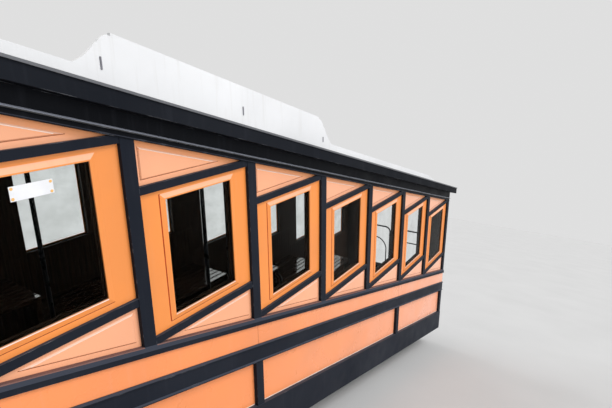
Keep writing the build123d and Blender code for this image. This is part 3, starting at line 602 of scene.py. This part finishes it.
# Painted highlights on edges: the ledge under the glass, the top of each raised field, the foot of the
# lower panels
BEAD_RISE = 0.006
BEAD_LIGHT = 0.0060
BEAD_LIGHT_DOWN = 0.0005
FIELD_RISE = 0.006
FIELD_LIGHT = 0.0035
PANEL_LIGHT = 0.009


def highlight_edges():
    # Painted highlight strips
    piece = Piece("highlight_edges", "pale_orange_paint",
                  material=plain("highlight_paint", (0.96, 0.66, 0.52), (0.97, 0.82, 0.74), 0.3))
    u0 = BAY - GLASS_SIDE - GLASS_WIDTH
    ledge = -GLASS_HEAD - GLASS_HEIGHT - BEAD_LIGHT / 2 - BEAD_LIGHT_DOWN
    high, low = triangles(FIELD_MARGIN + FIELD_RISE + FIELD_LIGHT / 2)
    for side in (-1, 1):
        face = ACROSS * side
        for bay in range(1, BAYS + 1):
            y = side * (HALF - FRAME_SET + BEAD_RISE)
            start, end = in_bay(u0, ledge, y, bay), in_bay(u0 + GLASS_WIDTH, ledge, y, bay)
            piece.strip(start, end, face, BEAD_LIGHT)
            y = side * (HALF - PANEL_SET + FIELD_RISE)
            for start, end in ((high[1], high[2]), (low[2], low[0])):
                piece.strip(in_bay(*start, y, bay), in_bay(*end, y, bay), face, FIELD_LIGHT)
        y = side * (HALF - LOWER_PANEL_SET)
        drop = SKIRT_TOP - PANEL_LIGHT / 2
        for first, last in zip(FULL_POSTS, FULL_POSTS[1:]):
            piece.strip(at(first * BAY + POST, drop, y), at(last * BAY, drop, y), face, PANEL_LIGHT)
    piece.done()


# Bare notice plate on the glass of one window a side, with a dot in each corner
PLATE_BAY = 4
PLATE_U = (0.406, 0.585)
PLATE_UP = (-0.199, -0.136)
PLATE_THICK = 0.0015
PLATE_SOFT = 0.0005
DOT_RADIUS = 0.0065
DOT_THICK = 0.0008
DOT_SIDES = 12
DOT_IN = 0.010


def plates():
    plate = Piece("notice_plates", "white_paint",
                  material=plain("plate_white", (0.86, 0.87, 0.90), (0.78, 0.79, 0.82), 0.3))
    dots = Piece("notice_dots", "orange_paint",
                 material=plain("dot_yellow", (0.92, 0.56, 0.20), (0.84, 0.46, 0.14), 0.4))
    width = LEVEL * (PLATE_U[1] - PLATE_U[0])
    height = PLUMB * (PLATE_UP[1] - PLATE_UP[0])
    for side in (-1, 1):
        y = side * GLASS_FACE
        out = ACROSS * side
        corner = in_bay(PLATE_U[0], PLATE_UP[0], y, PLATE_BAY)
        plate.box(corner, width, height, out * PLATE_THICK, PLATE_SOFT)
        for u in (PLATE_U[0] + DOT_IN, PLATE_U[1] - DOT_IN):
            for up in (PLATE_UP[0] + DOT_IN, PLATE_UP[1] - DOT_IN):
                centre = in_bay(u, up, y, PLATE_BAY) + out * PLATE_THICK
                dots.disc(centre, out, DOT_RADIUS, DOT_THICK, DOT_SIDES)
    plate.done()
    dots.done()


# Dark straps that hold the sign boards to the roof: distance from the middle, low and high end
SIGN_IN = 0.046
STRAPS = ((-0.968, 0.300, 0.358), (-0.008, 0.300, 0.354), (0.967, 0.290, 0.333))
STRAP_WIDTH = 0.009
STRAP_THICK = 0.004
STRAP_SOFT = 0.001


def straps():
    piece = Piece("sign_straps", "black_steel",
                  material=plain("strap_grey", (0.12, 0.12, 0.14), (0.30, 0.30, 0.34), 0.5))
    for side in (-1, 1):
        y = side * (HALF - SIGN_IN)
        for along, low, high in STRAPS:
            corner = at(BODY_LEVEL / 2 + along - STRAP_WIDTH / 2, -low, y)
            height = PLUMB * (high - low)
            piece.box(corner, LEVEL * STRAP_WIDTH, height, ACROSS * (side * STRAP_THICK), STRAP_SOFT)
    piece.done()


# Laps of the roof canvas over each post, which stop a little short of the eaves
LAP_WIDTH = 0.014
LAP_THICK = 0.0012
LAP_STEPS = 32
LAP_SHORT = 0.020
ROOF_EDGE = FRIEZE + FASCIA
ROOF_RADIUS = ((HALF + EAVES_OUT) ** 2 + (ROOF_CROWN - ROOF_EDGE) ** 2) / (2 * (ROOF_CROWN - ROOF_EDGE))


def roof_up(y):
    """Height of the roof over the eaves line."""
    return ROOF_CROWN - ROOF_RADIUS + math.sqrt(ROOF_RADIUS ** 2 - y ** 2)


def laps():
    piece = Piece("canvas_laps", "roof_canvas")
    reach = HALF + EAVES_OUT - LAP_SHORT
    step = LEVEL * LAP_WIDTH - PLUMB * (LAP_WIDTH * TAN)
    for post in range(1, BAYS):
        rows = []
        for i in range(LAP_STEPS + 1):
            y = -reach + 2 * reach * i / LAP_STEPS
            low = at(post * BAY, -roof_up(y), y)
            high = low + PLUMB * LAP_THICK
            rows.append([piece.mesh.verts.new(point) for point in (low, low + step, high + step, high)])
        for a, b in zip(rows, rows[1:]):
            for i in range(4):
                piece.mesh.faces.new((a[i], a[(i + 1) % 4], b[(i + 1) % 4], b[i]))
        piece.mesh.faces.new(rows[0])
        piece.mesh.faces.new(rows[-1][::-1])
    piece.done()


# Joints in the flat boards under the belt rail, over the full posts
BOARD_SET = 0.005
JOINT = 0.0025


def board_joints():
    piece = Piece("board_joints", "orange_paint", material=groove_dirt_and_shade())
    for side in (-1, 1):
        y = side * (HALF - BOARD_SET)
        for post in FULL_POSTS[1:-1]:
            h = post * BAY + POST / 2
            piece.strip(at(h, BELT_BOTTOM, y), at(h, BAND_TOP, y), ACROSS * side, JOINT)
    piece.done()


# Round covers on the axle boxes, each with four bolts
AXLE_UP = 0.225
BOX_FACE = 0.600
BOX_HALF = 0.065
COVER_RADIUS = 0.045
COVER_THICK = 0.008
COVER_SIDES = 28
COVER_SOFT = 0.0015
BOLT_IN = 0.012
BOLT_RADIUS = 0.008
BOLT_THICK = 0.006
BOLT_SIDES = 6
BOLT_SOFT = 0.001


def box_covers():
    piece = Piece("axle_box_covers", "frame_steel")
    low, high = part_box("axle_boxes")
    for x in (low.x + BOX_HALF, high.x - BOX_HALF):
        for side in (-1, 1):
            out = ACROSS * side
            centre = Vector((x, side * BOX_FACE, AXLE_UP))
            piece.disc(centre, out, COVER_RADIUS, COVER_THICK, COVER_SIDES, COVER_SOFT)
            for i in range(4):
                turn = math.pi / 4 + math.pi / 2 * i
                bolt = centre + Vector((math.cos(turn), 0, math.sin(turn))) * (COVER_RADIUS - BOLT_IN)
                piece.disc(bolt + out * COVER_THICK, out, BOLT_RADIUS, BOLT_THICK, BOLT_SIDES, BOLT_SOFT)
    piece.done()


# Stage, light and camera
FLOOR_REACH = 90.0


def stage():
    look = Look("floor", 0.9, 0.1)
    colour = look.mix(look.span(look.noise(0.8, 3), 0.3, 0.7), (0.60, 0.60, 0.60), (0.63, 0.63, 0.63))
    look.feed(look.shader.inputs["Base Color"], colour)
    data = bpy.data.meshes.new("studio_floor")
    corners = [(x * FLOOR_REACH, y * FLOOR_REACH, 0) for x, y in ((-1, -1), (1, -1), (1, 1), (-1, 1))]
    data.from_pydata(corners, [], [(0, 1, 2, 3)])
    data.materials.append(look.material)
    floor = bpy.data.objects.new("studio_floor", data)
    bpy.context.scene.collection.objects.link(floor)


WORLD_FILL = 0.52
WORLD_SEEN = 0.74


def world():
    """Plain pale surroundings: a soft fill for the object, and paler where they are seen."""
    studio = bpy.data.worlds.new("studio")
    bpy.context.scene.world = studio
    studio.use_nodes = True
    nodes = Nodes(studio.node_tree)
    path = studio.node_tree.nodes.new("ShaderNodeLightPath")
    seen = path.outputs["Is Camera Ray"]
    for kind in ("Is Glossy Ray", "Is Transmission Ray"):
        seen = nodes.math("MAXIMUM", seen, path.outputs[kind])
    direct = nodes.math("LESS_THAN", path.outputs["Diffuse Depth"], 0.5)
    strength = nodes.span(nodes.times(seen, direct), 0.0, 1.0, WORLD_FILL, WORLD_SEEN)
    background = studio.node_tree.nodes["Background"]
    nodes.feed(background.inputs["Strength"], strength)
    nodes.feed(background.inputs["Color"], (1, 1, 1))


# Lamps: power, the direction they shine in, and softness in degrees
LAMPS = {
    "key": (1.75, (-0.08, 0.80, -1.00), 30),
    "front": (1.05, (-0.05, 1.00, -0.12), 50),
    "fill": (0.9, (0.30, -0.85, -0.60), 40),
}


def lamps():
    """Broad distant lamps."""
    for name, (power, towards, softness) in LAMPS.items():
        data = bpy.data.lights.new(name, "SUN")
        data.energy = power
        data.angle = math.radians(softness)
        light = bpy.data.objects.new(name, data)
        light.visible_transmission = False
        light.rotation_euler = Vector(towards).to_track_quat("-Z", "Y").to_euler()
        bpy.context.scene.collection.objects.link(light)


# Camera of the photograph: it stands level with the eaves, a little uphill of the post that
# the first whole bay in the picture begins at. Its place is in bay pitches.
PHOTO_POST = 3
CAMERA_LEVEL = -0.4636
CAMERA_ACROSS = -2.1332
CAMERA_UP = 0.0531
CAMERA_YAW = math.radians(33.63)
CAMERA_PITCH = math.radians(16.87)
CAMERA_ROLL = math.radians(-0.373)
CAMERA_LENS = 27.306
CAMERA_SENSOR = 36.0
CAMERA_REACH = 300.0


def camera():
    data = bpy.data.cameras.new("camera")
    data.lens = CAMERA_LENS
    data.sensor_width = CAMERA_SENSOR
    data.clip_end = CAMERA_REACH
    eye = bpy.data.objects.new("camera", data)
    flat = math.cos(CAMERA_PITCH)
    ahead = Vector((math.cos(CAMERA_YAW) * flat, math.sin(CAMERA_YAW) * flat, -math.sin(CAMERA_PITCH)))
    right = Vector((math.sin(CAMERA_YAW), -math.cos(CAMERA_YAW), 0))
    up = right.cross(ahead)
    turned_right = right * math.cos(CAMERA_ROLL) + up * math.sin(CAMERA_ROLL)
    turned_up = up * math.cos(CAMERA_ROLL) - right * math.sin(CAMERA_ROLL)
    to_frame = Matrix((LEVEL, ACROSS, PLUMB)).transposed()
    columns = [to_frame @ turned_right, to_frame @ turned_up, to_frame @ -ahead]
    place = at(PHOTO_POST * BAY, 0, -HALF + CAMERA_ACROSS * BAY)
    place += LEVEL * (CAMERA_LEVEL * BAY) + PLUMB * (CAMERA_UP * BAY)
    eye.matrix_world = Matrix.Translation(place) @ Matrix(columns).transposed().to_4x4()
    bpy.context.scene.collection.objects.link(eye)
    bpy.context.scene.camera = eye


beadboard()
nosings()
grooves()
highlight_edges()
plates()
straps()
laps()
board_joints()
box_covers()
stage()
world()
lamps()
camera()
bpy.context.scene.view_settings.view_transform = "Standard"
